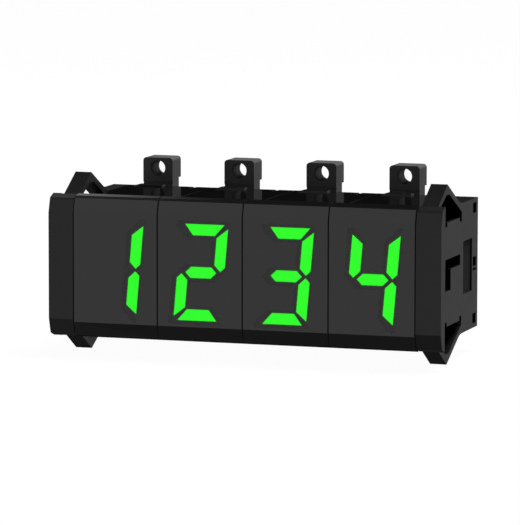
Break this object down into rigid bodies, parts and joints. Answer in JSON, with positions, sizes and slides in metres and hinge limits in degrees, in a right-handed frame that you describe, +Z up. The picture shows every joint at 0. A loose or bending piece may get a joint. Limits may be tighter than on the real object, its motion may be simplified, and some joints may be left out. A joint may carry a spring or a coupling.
{
  "type": "seven segment display",
  "caption": "Panel-mount row of seven segment digit modules with lit green numerals, smoked black windows, snap-in end plates and rear screw tabs.",
  "frame": {"origin": "centre of the panel cut-out in the plane of the panel's front face, where the bezel's back rests", "axes": "+X along the row of digits to the viewer's right, +Y from the panel backwards, +Z up"},
  "size_m": [0.1034, 0.0592, 0.0456],
  "materials": {
    "black_plate": "fine satin moulding",
    "black_housing": "glossy moulding",
    "black_cover": "satin moulding",
    "smoked_face": "smoked, satin front",
    "lit_lens": "lit lens",
    "dark_lens": "unlit lens",
    "white_block": "black face with white wells",
    "led_body": "clear resin",
    "circuit_board": "solder mask",
    "pin_metal": "gold flash",
    "chip_body": "moulded epoxy",
    "resistor_body": "dipped",
    "socket_body": "moulded"
  },
  "bodies": {
    "root": {"left_end_plate": "black_plate", "right_end_plate": "black_plate", "face_cap_1": "smoked_face", "face_cap_2": "smoked_face", "face_cap_3": "smoked_face", "face_cap_4": "smoked_face", "lit_segments_1": "lit_lens", "lit_segments_2": "lit_lens", "lit_segments_3": "lit_lens", "lit_segments_4": "lit_lens", "unlit_segments_1": "dark_lens", "unlit_segments_2": "dark_lens", "unlit_segments_3": "dark_lens", "unlit_segments_4": "dark_lens", "digit_reflector_1": "white_block", "digit_reflector_2": "white_block", "digit_reflector_3": "white_block", "digit_reflector_4": "white_block", "leds_1": "led_body", "leds_2": "led_body", "leds_3": "led_body", "leds_4": "led_body", "display_board_1": "circuit_board", "display_board_2": "circuit_board", "display_board_3": "circuit_board", "display_board_4": "circuit_board", "pin_header_1": "pin_metal", "pin_header_2": "pin_metal", "pin_header_3": "pin_metal", "pin_header_4": "pin_metal", "control_board_1": "circuit_board", "control_board_2": "circuit_board", "control_board_3": "circuit_board", "control_board_4": "circuit_board", "driver_chip_1": "chip_body", "driver_chip_2": "chip_body", "driver_chip_3": "chip_body", "driver_chip_4": "chip_body", "resistor_network_1": "resistor_body", "resistor_network_2": "resistor_body", "resistor_network_3": "resistor_body", "resistor_network_4": "resistor_body", "rear_socket_1": "socket_body", "rear_socket_2": "socket_body", "rear_socket_3": "socket_body", "rear_socket_4": "socket_body", "housing_1": "black_housing", "housing_2": "black_housing", "housing_3": "black_housing", "housing_4": "black_housing", "rear_cover_1": "black_cover", "rear_cover_2": "black_cover", "rear_cover_3": "black_cover", "rear_cover_4": "black_cover"}
  },
  "joints": []
}
